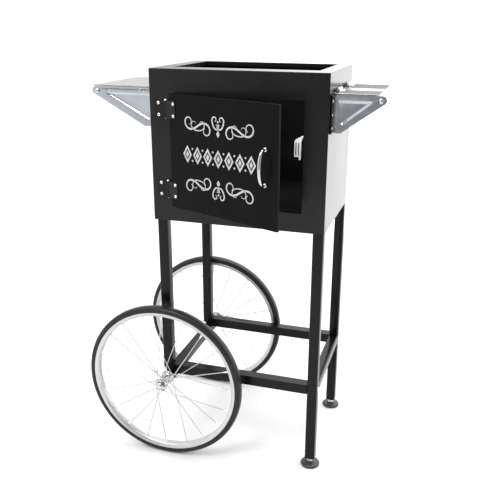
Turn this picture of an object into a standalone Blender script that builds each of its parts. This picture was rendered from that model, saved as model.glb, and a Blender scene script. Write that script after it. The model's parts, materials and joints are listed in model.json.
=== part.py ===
"""Vintage popcorn cart: an open-topped sheet-steel cabinet on a square-tube frame.

Two spoked wheels carry its left end and two levelling feet its right end. A door on
two butt hinges closes the front, and a shelf on two brackets stands out on each side.
Metres, +Z up, -Y is the front. The origin is on the floor, under the middle of the
whole object's box with the door ajar.
"""

import math

import bmesh
import bpy
from mathutils import Matrix, Vector

GAP = 0.0003  # between pieces that touch

# Cabinet
CABINET_WIDTH = 0.3554
CABINET_DEPTH = 0.2578
CABINET_HEIGHT = 0.3031
TOP = 0.8424
LEFT = -0.1484
FRONT = -0.1038
SHEET = 0.0012
FLOOR_TOP = 0.5790
OPENING_LEFT = 0.0490  # from the cabinet's left side
OPENING_RIGHT = 0.3095
OPENING_BOTTOM = 0.5772
OPENING_TOP = 0.7920
OPENING_LIP = 0.0120
RIM_SIDE = 0.0298
RIM_FRONT = 0.0512
RIM_BACK = 0.0147
RIGHT = LEFT + CABINET_WIDTH
BACK = FRONT + CABINET_DEPTH
BOTTOM = TOP - CABINET_HEIGHT

# Frame of square tube
TUBE = 0.0216
TUBE_WALL = 0.0015
LEG_INSET = 0.0025
FRONT_LEG_SETBACK = 0.0078
LEG_TOP = FLOOR_TOP - SHEET - 2 * GAP
RIGHT_LEG_BOTTOM = 0.0190
RAIL_BOTTOM = 0.1793
FRONT_LEG_Y = FRONT + FRONT_LEG_SETBACK
REAR_LEG_Y = BACK + GAP
LEFT_LEG_X = LEFT + LEG_INSET
RIGHT_LEG_X = RIGHT - LEG_INSET - TUBE

# Wheels and axle
WHEEL_RADIUS = 0.1777
WHEEL_OFFSET = 0.0279  # wheel's middle in front of the cabinet's front
AXLE_X = LEFT + 0.0198
AXLE_RADIUS = 0.0050
TYRE_WIDTH = 0.0226
TYRE_THICKNESS = 0.0115
RIM_THICKNESS = 0.0095
HUB_HALF_LENGTH = 0.0190
HUB_FLANGE_RADIUS = 0.0145
SPOKES = 20
SPOKE_WIDTH = 0.0024
NUT_END = 0.0301  # nut's outer end from the wheel's middle
FRONT_WHEEL_Y = FRONT - WHEEL_OFFSET
REAR_WHEEL_Y = FRONT + 0.2990
BEAM_BOTTOM = WHEEL_RADIUS - TUBE / 2
BEAM_START = FRONT_LEG_Y
BEAM_END = FRONT + 0.2765

# Levelling feet
FOOT_RADIUS = 0.0205
FOOT_HEIGHT = 0.0095
STEM_RADIUS = 0.0048

# Door and hinges
DOOR_ANGLE = math.radians(22.75)
DOOR_THICKNESS = 0.0060
DOOR_GAP = 0.0012
DOOR_START = 0.0095  # from the pin to the door's edge
DOOR_END = 0.2755
DOOR_BOTTOM = 0.5724
DOOR_TOP = 0.7975
PIN_X = LEFT + 0.0368
PIN_Y = FRONT - DOOR_GAP - DOOR_THICKNESS
PIN_RADIUS = 0.0013
KNUCKLE_RADIUS = 0.0024
LEAF = 0.0010
LEAF_REACH = 0.0265
LEAF_HEIGHT = 0.0340
HINGE_HEIGHTS = {"upper": 0.7663, "lower": 0.6072}
PULL_AT = 0.2470  # along the door from the pin
PULL_Z = 0.6860
PULL_SPAN = 0.0640
PULL_REACH = 0.0175
PULL_RADIUS = 0.0026
CATCH_LEFT = LEFT + 0.2915
CATCH_RIGHT = LEFT + OPENING_RIGHT - GAP
CATCH_BOTTOM = 0.6817
CATCH_HEIGHT = 0.0450

# Shelves and brackets
SHELF_TOP = 0.8045
SHELF_THICKNESS = 0.0020
SHELF_START = 0.0300  # from the cabinet's front
SHELF_END = 0.2278
BRACKET_SHEET = 0.0020
MOUNT_THICKNESS = 0.0050
RIGHT_SHELF_REACH = 0.0853
LEFT_SHELF_REACH = 0.1400
RIGHT_BRACKET = {"reach": 0.0993, "drop": 0.0712, "foot": 0.0183}
LEFT_BRACKET = {"reach": 0.1418, "drop": 0.0765, "foot": 0.0290}
REAR_BRACKET = {"reach": 0.0640, "drop": 0.0600, "foot": 0.0160}
BRACKET_TIP = 0.0085  # radius of its rounded tip
TIP_BOLT_SHANK = 0.0024
MOUNT_NEAR = 0.0150  # the mounting strip's two edges, from the bracket's outer face
MOUNT_FAR = 0.0200
TIP_BOLT_INSET = 0.0113
TIP_BOLT_RADIUS = 0.0048


def clear_scene():
    for obj in list(bpy.data.objects):
        bpy.data.objects.remove(obj, do_unlink=True)


def material(name, colour, roughness, metallic):
    mat = bpy.data.materials.new(name)
    mat.use_nodes = True
    shader = mat.node_tree.nodes["Principled BSDF"]
    shader.inputs["Base Color"].default_value = (*colour, 1.0)
    shader.inputs["Roughness"].default_value = roughness
    shader.inputs["Metallic"].default_value = metallic
    return mat


def finish(name, mesh_data, mat):
    """Turns a bmesh into a named, smooth-shaded object with one material."""
    bmesh.ops.recalc_face_normals(mesh_data, faces=mesh_data.faces)
    mesh = bpy.data.meshes.new(name)
    mesh_data.to_mesh(mesh)
    mesh_data.free()
    mesh.shade_smooth()
    mesh.set_sharp_from_angle(angle=math.radians(35))
    mesh.materials.append(mat)
    obj = bpy.data.objects.new(name, mesh)
    bpy.context.scene.collection.objects.link(obj)
    return obj


def box_mesh(low, high, bevel=0.0):
    mesh_data = bmesh.new()
    bmesh.ops.create_cube(mesh_data, size=1.0)
    low, high = Vector(low), Vector(high)
    bmesh.ops.scale(mesh_data, vec=high - low, verts=mesh_data.verts)
    bmesh.ops.translate(mesh_data, vec=(low + high) / 2, verts=mesh_data.verts)
    if bevel:
        bmesh.ops.bevel(
            mesh_data, geom=list(mesh_data.edges), offset=bevel, segments=1, affect="EDGES"
        )
    return mesh_data


def box(name, low, high, mat, bevel=0.0):
    return finish(name, box_mesh(low, high, bevel), mat)


def prism(name, outline, start, end, mat):
    """Extrudes an outline of (x, z) points along Y."""
    mesh_data = bmesh.new()
    rings = [[mesh_data.verts.new((x, y, z)) for x, z in outline] for y in (start, end)]
    mesh_data.faces.new(rings[0])
    mesh_data.faces.new(rings[1][::-1])
    for i in range(len(outline)):
        j = (i + 1) % len(outline)
        mesh_data.faces.new((rings[0][i], rings[0][j], rings[1][j], rings[1][i]))
    return finish(name, mesh_data, mat)


def square_tube(name, low, high, axis, mat):
    """A hollow square tube, open at both ends, along axis 0, 1 or 2."""
    mesh_data = bmesh.new()
    a, b = [i for i in range(3) if i != axis]
    rings = []
    for inset in (0.0, TUBE_WALL):
        corners = (
            (low[a] + inset, low[b] + inset),
            (high[a] - inset, low[b] + inset),
            (high[a] - inset, high[b] - inset),
            (low[a] + inset, high[b] - inset),
        )
        for end in (low[axis], high[axis]):
            ring = []
            for u, v in corners:
                point = [0.0, 0.0, 0.0]
                point[a], point[b], point[axis] = u, v, end
                ring.append(mesh_data.verts.new(point))
            rings.append(ring)
    for first, second in ((0, 1), (1, 3), (3, 2), (2, 0)):
        for i in range(4):
            j = (i + 1) % 4
            mesh_data.faces.new(
                (rings[first][i], rings[first][j], rings[second][j], rings[second][i])
            )
    return finish(name, mesh_data, mat)


def turned_mesh(profile, centre, axis, segments, closed):
    """Turns (radius, height) points about axis "Y" or "Z". A closed profile makes a ring."""
    mesh_data = bmesh.new()
    rings = []
    for radius, height in profile:
        ring = []
        for i in range(segments if radius > 0 else 1):
            angle = 2 * math.pi * i / segments
            across, up = radius * math.cos(angle), radius * math.sin(angle)
            offset = (across, height, up) if axis == "Y" else (across, up, height)
            ring.append(mesh_data.verts.new(Vector(centre) + Vector(offset)))
        rings.append(ring)
    pairs = list(zip(rings, rings[1:] + ([rings[0]] if closed else [])))
    for ring, following in pairs:
        for i in range(segments):
            j = (i + 1) % segments
            corners = [ring[i % len(ring)], ring[j % len(ring)]]
            corners += [following[j % len(following)], following[i % len(following)]]
            mesh_data.faces.new(list(dict.fromkeys(corners)))
    return mesh_data


def turned(name, profile, centre, mat, axis="Y", segments=48, closed=False):
    return finish(name, turned_mesh(profile, centre, axis, segments, closed), mat)


def boolean(obj, other, operation):
    modifier = obj.modifiers.new(operation.title(), "BOOLEAN")
    modifier.operation = operation
    modifier.object = other
    other.hide_render = True
    other.display_type = "WIRE"


def empty_at(name, location):
    empty = bpy.data.objects.new(name, None)
    bpy.context.scene.collection.objects.link(empty)
    empty.location = location
    return empty


def ride(obj, parent):
    """Parents an object and its Boolean helpers, and keeps their place in the world."""
    for piece in (obj, *(modifier.object for modifier in obj.modifiers)):
        piece.parent = parent
        piece.matrix_parent_inverse = Matrix.Translation(parent.location).inverted()


def make_cabinet(paint):
    opening_low = (LEFT + OPENING_LEFT, FRONT - 0.01, OPENING_BOTTOM)
    opening_high = (LEFT + OPENING_RIGHT, FRONT + 0.05, OPENING_TOP)
    side_top = TOP - SHEET - GAP
    front = box("front_panel", (LEFT, FRONT, BOTTOM), (RIGHT, FRONT + SHEET, side_top), paint)
    lip = box(
        "front_lip_helper",
        (opening_low[0] - SHEET, FRONT + SHEET / 2, opening_low[2] - SHEET),
        (opening_high[0] + SHEET, FRONT + OPENING_LIP, opening_high[2] + SHEET),
        paint,
    )
    boolean(front, lip, "UNION")
    boolean(front, box("opening_helper", opening_low, opening_high, paint), "DIFFERENCE")
    box("back_panel", (LEFT, BACK - SHEET, BOTTOM), (RIGHT, BACK, side_top), paint)
    side_front, side_back = FRONT + SHEET + GAP, BACK - SHEET - GAP
    box("left_side_panel", (LEFT, side_front, BOTTOM), (LEFT + SHEET, side_back, side_top), paint)
    box("right_side_panel", (RIGHT - SHEET, side_front, BOTTOM), (RIGHT, side_back, side_top), paint)
    inner = SHEET + GAP
    box(
        "cabinet_floor",
        (LEFT + inner, FRONT + OPENING_LIP + GAP, FLOOR_TOP - SHEET),
        (RIGHT - inner, BACK - inner, FLOOR_TOP),
        paint,
    )
    rim = box("top_rim", (LEFT, FRONT, TOP - SHEET), (RIGHT, BACK, TOP), paint)
    well = box(
        "well_helper",
        (LEFT + RIM_SIDE, FRONT + RIM_FRONT, TOP - 0.01),
        (RIGHT - RIM_SIDE, BACK - RIM_BACK, TOP + 0.01),
        paint,
    )
    boolean(rim, well, "DIFFERENCE")


def make_frame(paint):
    left_bottom = BEAM_BOTTOM + TUBE + GAP
    corners = {
        "front_left_leg": (LEFT_LEG_X, FRONT_LEG_Y, left_bottom),
        "rear_left_leg": (LEFT_LEG_X, REAR_LEG_Y, left_bottom),
        "front_right_leg": (RIGHT_LEG_X, FRONT_LEG_Y, RIGHT_LEG_BOTTOM),
        "rear_right_leg": (RIGHT_LEG_X, REAR_LEG_Y, RIGHT_LEG_BOTTOM),
    }
    for name, low in corners.items():
        square_tube(name, low, (low[0] + TUBE, low[1] + TUBE, LEG_TOP), 2, paint)
    rail_start, rail_end = LEFT_LEG_X + TUBE + GAP, RIGHT_LEG_X - GAP
    for name, y in (("front_rail", FRONT_LEG_Y), ("rear_rail", REAR_LEG_Y)):
        high = (rail_end, y + TUBE, RAIL_BOTTOM + TUBE)
        rail = square_tube(name, (rail_start, y, RAIL_BOTTOM), high, 0, paint)
        notch = box(
            f"{name}_notch_helper",
            (rail_start - 0.01, y - 0.01, BEAM_BOTTOM - 0.01),
            (AXLE_X + TUBE / 2 + GAP, y + TUBE + 0.01, BEAM_BOTTOM + TUBE + GAP),
            paint,
        )
        boolean(rail, notch, "DIFFERENCE")
    low = (RIGHT_LEG_X, FRONT_LEG_Y + TUBE + GAP, RAIL_BOTTOM)
    high = (RIGHT_LEG_X + TUBE, REAR_LEG_Y - GAP, RAIL_BOTTOM + TUBE)
    square_tube("right_cross_rail", low, high, 1, paint)
    low = (AXLE_X - TUBE / 2, BEAM_START, BEAM_BOTTOM)
    high = (AXLE_X + TUBE / 2, BEAM_END, BEAM_BOTTOM + TUBE)
    square_tube("axle_beam", low, high, 1, paint)


def make_feet(paint, steel):
    """A pad that swivels on each stem, and the stem screwed into the leg's plug."""
    for name, y in (("front", FRONT_LEG_Y), ("rear", REAR_LEG_Y)):
        centre = (RIGHT_LEG_X + TUBE / 2, y + TUBE / 2, 0.0)
        pad = turned(
            f"{name}_foot_pad",
            [
                (0.0, 0.0),
                (FOOT_RADIUS - 0.0015, 0.0),
                (FOOT_RADIUS, 0.0015),
                (FOOT_RADIUS, 0.0045),
                (FOOT_RADIUS * 0.72, 0.0078),
                (STEM_RADIUS + 0.0015, FOOT_HEIGHT),
                (0.0, FOOT_HEIGHT),
            ],
            (0.0, 0.0, 0.0),
            paint,
            axis="Z",
            segments=40,
        )
        pad.location = centre
        stem_low, stem_high = FOOT_HEIGHT + GAP, 0.0480
        turned(
            f"{name}_foot_stem",
            [(0.0, stem_low), (STEM_RADIUS, stem_low), (STEM_RADIUS, stem_high), (0.0, stem_high)],
            centre,
            steel,
            axis="Z",
            segments=20,
        )
        plug_half = TUBE / 2 - TUBE_WALL - GAP
        plug = box(
            f"{name}_leg_plug",
            (centre[0] - plug_half, centre[1] - plug_half, RIGHT_LEG_BOTTOM + 0.0005),
            (centre[0] + plug_half, centre[1] + plug_half, RIGHT_LEG_BOTTOM + 0.0200),
            paint,
        )
        bore_radius = STEM_RADIUS + GAP
        bore = turned(
            f"{name}_bore_helper",
            [(0.0, 0.0), (bore_radius, 0.0), (bore_radius, 0.06), (0.0, 0.06)],
            centre,
            paint,
            axis="Z",
            segments=20,
        )
        boolean(plug, bore, "DIFFERENCE")


def spoke_mesh(wheel_y):
    """All the spokes of a wheel: every other one starts at the outer flange."""
    mesh_data = bmesh.new()
    rim_inside = WHEEL_RADIUS - TYRE_THICKNESS - RIM_THICKNESS - 3 * GAP
    half = SPOKE_WIDTH / 2
    for i in range(SPOKES):
        angle = 2 * math.pi * i / SPOKES
        side = 1 if i % 2 else -1
        start = Vector((0.0, side * (HUB_HALF_LENGTH - 0.0030), HUB_FLANGE_RADIUS - 0.0050))
        end = Vector((0.0, side * 0.0030, rim_inside))
        across = Vector((half, 0.0, 0.0))
        along = Vector((0.0, half, 0.0))
        rings = []
        for point in (start, end):
            corners = (across + along, across - along, -across - along, -across + along)
            rings.append([mesh_data.verts.new(point + corner) for corner in corners])
        mesh_data.faces.new(rings[0])
        mesh_data.faces.new(rings[1][::-1])
        for j in range(4):
            k = (j + 1) % 4
            mesh_data.faces.new((rings[0][j], rings[0][k], rings[1][k], rings[1][j]))
        turned_verts = [vert for ring in rings for vert in ring]
        bmesh.ops.rotate(
            mesh_data, cent=(0, 0, 0), matrix=Matrix.Rotation(angle, 3, "Y"), verts=turned_verts
        )
    bmesh.ops.translate(mesh_data, vec=(AXLE_X, wheel_y, WHEEL_RADIUS), verts=mesh_data.verts)
    return mesh_data


def make_wheel(name, wheel_y, rubber, steel, chrome):
    """A solid tyre on a channel rim, and a spoked hub with a bore that clears the axle."""
    hub_centre = empty_at(f"{name}_wheel_axis", (AXLE_X, wheel_y, WHEEL_RADIUS))
    half = TYRE_WIDTH / 2
    outer, seat = WHEEL_RADIUS, WHEEL_RADIUS - TYRE_THICKNESS
    tyre = [
        (seat, -half),
        (outer - 0.0030, -half),
        (outer, -half + 0.0035),
        (outer, half - 0.0035),
        (outer - 0.0030, half),
        (seat, half),
    ]
    rim_out, rim_in = seat - GAP, seat - RIM_THICKNESS
    edge, well, wall = half - 0.0010, half - 0.0043, 0.0016
    rim = [
        (rim_out, -edge),
        (rim_out, -edge + wall),
        (rim_in + wall, -well + wall * 0.6),
        (rim_in + wall, well - wall * 0.6),
        (rim_out, edge - wall),
        (rim_out, edge),
        (rim_in, well),
        (rim_in, -well),
    ]
    pieces = [
        turned(f"{name}_tyre", tyre, hub_centre.location, rubber, segments=72, closed=True),
        turned(f"{name}_rim", rim, hub_centre.location, steel, segments=72, closed=True),
    ]
    bore, barrel, flange = AXLE_RADIUS + 0.0004, 0.0090, HUB_FLANGE_RADIUS
    end, groove = HUB_HALF_LENGTH, HUB_HALF_LENGTH - 0.0060
    hub = [
        (bore, -end - 0.0020),
        (barrel, -end - 0.0020),
        (barrel, -end),
        (flange, -end),
        (flange, -groove),
        (barrel, -groove),
        (barrel, groove),
        (flange, groove),
        (flange, end),
        (barrel, end),
        (barrel, end + 0.0020),
        (bore, end + 0.0020),
    ]
    spoked = turned(
        f"{name}_spoked_hub", hub, hub_centre.location, chrome, segments=32, closed=True
    )
    spokes = finish(f"{name}_spokes_helper", spoke_mesh(wheel_y), chrome)
    boolean(spoked, spokes, "UNION")
    for piece in (*pieces, spoked):
        ride(piece, hub_centre)


def make_axle(paint, steel, chrome):
    """The axle, with a bushing in each end of its beam, and what stands outside the beam."""
    first = FRONT_WHEEL_Y - NUT_END + 0.0040
    last = REAR_WHEEL_Y + NUT_END - 0.0040
    turned(
        "axle",
        [(0.0, first), (AXLE_RADIUS, first), (AXLE_RADIUS, last), (0.0, last)],
        (AXLE_X, 0.0, WHEEL_RADIUS),
        steel,
        segments=24,
    )
    for name, wheel_y, out in (("front", FRONT_WHEEL_Y, -1), ("rear", REAR_WHEEL_Y, 1)):
        hub_end = HUB_HALF_LENGTH + 0.0020
        washer = [
            (AXLE_RADIUS + GAP, out * (hub_end + GAP)),
            (0.0095, out * (hub_end + GAP)),
            (0.0095, out * (hub_end + 0.0016)),
            (AXLE_RADIUS + GAP, out * (hub_end + 0.0016)),
        ]
        centre = (AXLE_X, wheel_y, WHEEL_RADIUS)
        turned(f"{name}_axle_washer", washer, centre, chrome, segments=28, closed=True)
        start = hub_end + 0.0016 + GAP
        cap_nut = [
            (0.0, out * (NUT_END - 0.0030)),
            (AXLE_RADIUS + GAP, out * (NUT_END - 0.0030)),
            (AXLE_RADIUS + GAP, out * start),
            (0.0092, out * start),
            (0.0092, out * (start + 0.0040)),
            (0.0070, out * (NUT_END - 0.0010)),
            (0.0, out * NUT_END),
        ]
        turned(f"{name}_cap_nut", cap_nut, centre, chrome, segments=24)
        beam_end = (BEAM_START if out < 0 else BEAM_END) - wheel_y
        spacer = [
            (AXLE_RADIUS + GAP, -out * (hub_end + GAP)),
            (0.0075, -out * (hub_end + GAP)),
            (0.0075, beam_end + out * GAP),
            (AXLE_RADIUS + GAP, beam_end + out * GAP),
        ]
        turned(f"{name}_axle_spacer", spacer, centre, paint, segments=24, closed=True)
        bushing_half = TUBE / 2 - TUBE_WALL - GAP
        far, near = sorted((-out * 0.0200, -out * 0.0005))
        bushing = box(
            f"{name}_axle_bushing",
            (AXLE_X - bushing_half, wheel_y + beam_end + far, WHEEL_RADIUS - bushing_half),
            (AXLE_X + bushing_half, wheel_y + beam_end + near, WHEEL_RADIUS + bushing_half),
            paint,
        )
        bore = turned(
            f"{name}_bushing_bore_helper",
            [(0.0, -0.05), (AXLE_RADIUS + GAP, -0.05), (AXLE_RADIUS + GAP, 0.05), (0.0, 0.05)],
            (AXLE_X, wheel_y + beam_end, WHEEL_RADIUS),
            paint,
            segments=24,
        )
        boolean(bushing, bore, "DIFFERENCE")


def make_leaf(name, side, plate_y, knuckles, z, mat):
    """A leaf on one side of the pin: a plate, and a web and a rolled eye at each knuckle."""
    half = LEAF_HEIGHT / 2
    near = KNUCKLE_RADIUS + 0.0008
    low_x, high_x = sorted((side * near, side * LEAF_REACH))
    plate = box(
        name,
        (PIN_X + low_x, PIN_Y + plate_y, z - half),
        (PIN_X + high_x, PIN_Y + plate_y + LEAF, z + half),
        mat,
    )
    web_low, web_high = sorted((side * (PIN_RADIUS + 0.0007), side * (near + 0.0006)))
    web_front, web_back = min(plate_y, -0.0008), max(plate_y + LEAF, 0.0008)
    bore = PIN_RADIUS + 0.0002
    for i, (bottom, top) in enumerate(knuckles):
        web = box(
            f"{name}_web_helper_{i}",
            (PIN_X + web_low, PIN_Y + web_front + 0.00005, z + bottom + 0.00005),
            (PIN_X + web_high, PIN_Y + web_back - 0.00005, z + top - 0.00005),
            mat,
        )
        eye = turned(
            f"{name}_eye_helper_{i}",
            [(bore, bottom), (KNUCKLE_RADIUS, bottom), (KNUCKLE_RADIUS, top), (bore, top)],
            (PIN_X, PIN_Y, z),
            mat,
            axis="Z",
            segments=20,
            closed=True,
        )
        boolean(plate, web, "UNION")
        boolean(plate, eye, "UNION")
    return plate


def make_hinges(paint, steel, door_axis):
    third = LEAF_HEIGHT / 3
    half = LEAF_HEIGHT / 2
    outer_knuckles = ((-half, -third / 2 - GAP), (third / 2 + GAP, half))
    for level, z in HINGE_HEIGHTS.items():
        cabinet_plate, door_plate = FRONT - GAP - LEAF - PIN_Y, -LEAF - GAP
        name = f"{level}_hinge_cabinet_leaf"
        make_leaf(name, -1, cabinet_plate, outer_knuckles, z, paint)
        name = f"{level}_hinge_door_leaf"
        middle = ((-third / 2, third / 2),)
        ride(make_leaf(name, 1, door_plate, middle, z, paint), door_axis)
        pin_low, pin_high = z - half - 0.0008, z + half + GAP
        turned(
            f"{level}_hinge_pin",
            [
                (0.0, pin_low),
                (PIN_RADIUS, pin_low),
                (PIN_RADIUS, pin_high),
                (PIN_RADIUS * 1.5, pin_high),
                (PIN_RADIUS * 1.5, pin_high + 0.0012),
                (0.0, pin_high + 0.0012),
            ],
            (PIN_X, PIN_Y, 0.0),
            steel,
            axis="Z",
            segments=16,
        )


def make_door(paint, chrome, steel, door_axis):
    front_face, back_face = PIN_Y, PIN_Y + DOOR_THICKNESS
    door = box(
        "door_panel",
        (PIN_X + DOOR_START, front_face, DOOR_BOTTOM),
        (PIN_X + DOOR_END, back_face, DOOR_TOP),
        paint,
        bevel=0.0006,
    )
    ride(door, door_axis)
    strike = box(
        "strike_plate",
        (CATCH_LEFT + 0.0005, back_face + GAP, CATCH_BOTTOM + 0.0080),
        (CATCH_RIGHT - 0.0030, back_face + GAP + 0.0008, CATCH_BOTTOM + CATCH_HEIGHT - 0.0080),
        steel,
    )
    ride(strike, door_axis)
    ride(make_pull(front_face, chrome), door_axis)


def make_pull(front_face, chrome):
    """A bow pull: one round bar that leaves the door square and arches out."""
    steps = 14
    curve = bpy.data.curves.new("door_pull", "CURVE")
    curve.dimensions = "3D"
    curve.bevel_depth = PULL_RADIUS
    curve.bevel_resolution = 2
    curve.use_fill_caps = True
    spline = curve.splines.new("POLY")
    spline.points.add(steps)
    for i in range(steps + 1):
        share = math.pi * i / steps
        out = PULL_REACH * math.sin(share) ** 0.65
        height = PULL_Z - PULL_SPAN / 2 * math.cos(share)
        spline.points[i].co = (PIN_X + PULL_AT, front_face - GAP - out, height, 1.0)
    spline.points[0].co.z = spline.points[1].co.z
    spline.points[steps].co.z = spline.points[steps - 1].co.z
    curve.materials.append(chrome)
    pull = bpy.data.objects.new("door_pull", curve)
    bpy.context.scene.collection.objects.link(pull)
    return pull


def make_catch(plastic):
    front = FRONT + 0.0008
    box(
        "catch_body",
        (CATCH_LEFT, front, CATCH_BOTTOM),
        (CATCH_RIGHT, front + 0.0100, CATCH_BOTTOM + CATCH_HEIGHT),
        plastic,
        bevel=0.0008,
    )


def bracket_outline(start, side, reach, drop, foot):
    """A triangle seen from the front: square at the cabinet, with a rounded tip."""
    top = SHELF_TOP - SHELF_THICKNESS - GAP
    points = [(0.0, top - drop), (0.0, top)]
    for i in range(7):
        angle = math.radians(90 - 22.5 * i)
        x = reach - BRACKET_TIP * (1 - math.cos(angle))
        points.append((x, top - BRACKET_TIP * (1 - math.sin(angle))))
    points.append((foot, top - drop))
    return [(start + side * x, z) for x, z in points]


def make_bracket(name, side, form, near_face, facing, paint, chrome):
    """A bracket whose outer face is at near_face, and the strip that holds it to the wall."""
    wall = LEFT if side < 0 else RIGHT
    start = wall + side * (MOUNT_THICKNESS + 2 * GAP)
    used = MOUNT_THICKNESS + 2 * GAP
    shape = dict(form, reach=form["reach"] - used, foot=form["foot"] - used)
    y = sorted((near_face, near_face - facing * BRACKET_SHEET))
    outline = bracket_outline(start, side, **shape)
    bracket = prism(f"{name}_bracket", outline, y[0], y[1], chrome)
    x = sorted((wall + side * GAP, wall + side * (GAP + MOUNT_THICKNESS)))
    y = sorted((near_face + facing * MOUNT_FAR, near_face - facing * MOUNT_NEAR))
    top = SHELF_TOP - SHELF_THICKNESS - GAP
    low, high = (x[0], y[0], top - form["drop"]), (x[1], y[1], top)
    box(f"{name}_bracket_mount", low, high, paint, bevel=0.0004)
    return bracket


def make_tip_bolt(name, side, form, bracket, chrome):
    wall = LEFT if side < 0 else RIGHT
    x = wall + side * (form["reach"] - TIP_BOLT_INSET)
    centre = (x, FRONT + SHELF_START, SHELF_TOP - SHELF_THICKNESS - 0.0098)
    shank, head = TIP_BOLT_SHANK, TIP_BOLT_RADIUS
    profile = [
        (0.0, -0.0038),
        (head * 0.6, -0.0035),
        (head, -0.0020),
        (head, -GAP),
        (shank, -GAP),
        (shank, 0.0070),
        (0.0, 0.0070),
    ]
    turned(f"{name}_tip_bolt", profile, centre, chrome, segments=20)
    hole = [(0.0, -0.01), (shank + GAP, -0.01), (shank + GAP, 0.01), (0.0, 0.01)]
    cutter = turned(f"{name}_tip_hole_helper", hole, centre, chrome, segments=20)
    boolean(bracket, cutter, "DIFFERENCE")


def make_side(name, side, shelf_reach, form, paint, chrome):
    """One shelf, its two brackets, and the bolt in the front bracket's tip."""
    wall = LEFT if side < 0 else RIGHT
    x = sorted((wall + side * GAP, wall + side * shelf_reach))
    box(
        f"{name}_shelf",
        (x[0], FRONT + SHELF_START, SHELF_TOP - SHELF_THICKNESS),
        (x[1], FRONT + SHELF_END, SHELF_TOP),
        chrome,
    )
    front_face, rear_face = FRONT + SHELF_START, FRONT + SHELF_END
    front = make_bracket(f"{name}_front", side, form, front_face, -1, paint, chrome)
    make_bracket(f"{name}_rear", side, REAR_BRACKET, rear_face, 1, paint, chrome)
    make_tip_bolt(name, side, form, front, chrome)


def main():
    clear_scene()
    paint = material("black_powder_coat", (0.010, 0.010, 0.011), 0.32, 0.0)
    rubber = material("black_rubber", (0.013, 0.013, 0.013), 0.70, 0.0)
    steel = material("zinc_steel", (0.62, 0.62, 0.61), 0.32, 1.0)
    chrome = material("chrome", (0.80, 0.80, 0.81), 0.12, 1.0)
    plastic = material("white_plastic", (0.82, 0.82, 0.80), 0.45, 0.0)
    make_cabinet(paint)
    make_frame(paint)
    make_feet(paint, steel)
    make_wheel("front", FRONT_WHEEL_Y, rubber, steel, chrome)
    make_wheel("rear", REAR_WHEEL_Y, rubber, steel, chrome)
    make_axle(paint, steel, chrome)
    door_axis = empty_at("door_axis", (PIN_X, PIN_Y, 0.0))
    make_hinges(paint, steel, door_axis)
    make_door(paint, chrome, steel, door_axis)
    door_axis.rotation_euler.z = -DOOR_ANGLE
    make_catch(plastic)
    make_side("left", -1, LEFT_SHELF_REACH, LEFT_BRACKET, paint, chrome)
    make_side("right", 1, RIGHT_SHELF_REACH, RIGHT_BRACKET, paint, chrome)


main()
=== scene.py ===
"""Looks of the vintage popcorn cart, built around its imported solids.

Most pieces take their place from a solid's box, and each rides on the body that the solid is
in. Metres, +Z up, -Y is the front. The door's pieces are modelled with the door closed, and
then turned about the hinge pin to where the solids hold it.
"""

import json
import math

import bmesh
import bpy
from mathutils import Matrix, Vector
from mathutils.geometry import tessellate_polygon


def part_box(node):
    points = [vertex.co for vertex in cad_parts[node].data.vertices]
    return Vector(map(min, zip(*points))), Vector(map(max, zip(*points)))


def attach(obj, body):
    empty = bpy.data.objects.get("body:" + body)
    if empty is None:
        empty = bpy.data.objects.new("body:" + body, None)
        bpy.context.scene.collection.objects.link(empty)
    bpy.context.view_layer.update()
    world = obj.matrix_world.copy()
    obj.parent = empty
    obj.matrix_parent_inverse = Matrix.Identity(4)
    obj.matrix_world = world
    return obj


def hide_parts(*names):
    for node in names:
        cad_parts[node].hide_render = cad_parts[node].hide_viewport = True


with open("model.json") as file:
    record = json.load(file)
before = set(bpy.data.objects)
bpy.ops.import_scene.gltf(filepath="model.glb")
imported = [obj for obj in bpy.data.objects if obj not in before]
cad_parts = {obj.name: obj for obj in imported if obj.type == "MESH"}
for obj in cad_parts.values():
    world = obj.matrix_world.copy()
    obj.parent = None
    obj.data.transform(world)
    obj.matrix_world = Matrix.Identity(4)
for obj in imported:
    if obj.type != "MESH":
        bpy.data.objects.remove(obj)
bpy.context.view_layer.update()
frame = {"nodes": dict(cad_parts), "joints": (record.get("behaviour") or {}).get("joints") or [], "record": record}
NODES = frame["nodes"]
JOINTS = {joint["name"]: joint for joint in frame["joints"]}

PIN = Vector(JOINTS["door_hinge"]["pos_m"])
DOOR_ANGLE = math.radians(-JOINTS["door_hinge"]["range_deg"][0])
AXLE = Vector(JOINTS["front_wheel_spin"]["pos_m"])
FRONT_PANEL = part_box("front_panel")
LEFT, FRONT, BOTTOM = FRONT_PANEL[0]
RIGHT = FRONT_PANEL[1].x
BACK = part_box("back_panel")[1].y
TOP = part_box("top_rim")[1].z
SHEET = 0.0012
OPENING = (LEFT + 0.0490, 0.5772, LEFT + 0.3095, 0.7920)  # the door opening: x, z, x, z
OPENING_LIP = FRONT_PANEL[1].y
WELL = (LEFT + 0.0298, FRONT + 0.0512, RIGHT - 0.0298, BACK - 0.0147)  # x, y, x, y
DOOR_FRONT = PIN.y
DOOR_THICKNESS = 0.0060
DOOR = (PIN.x + 0.0095, 0.5724, PIN.x + 0.2755, 0.7975)  # the closed door: x, z, x, z
DOOR_ROW = 0.6860  # the height of the pull's middle and of the row of lozenges
PRINT_SINK = 0.00002  # how far the printed shapes reach into the door's face
PRINT_HEIGHT = 0.00015  # and how far they stand out of it
GRAIN_DEPTH = 0.0001
SLOT_OF = {part["node"]: part["material_slot"] for part in frame["record"]["subparts"]}


# ---------------------------------------------------------------- materials


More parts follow.
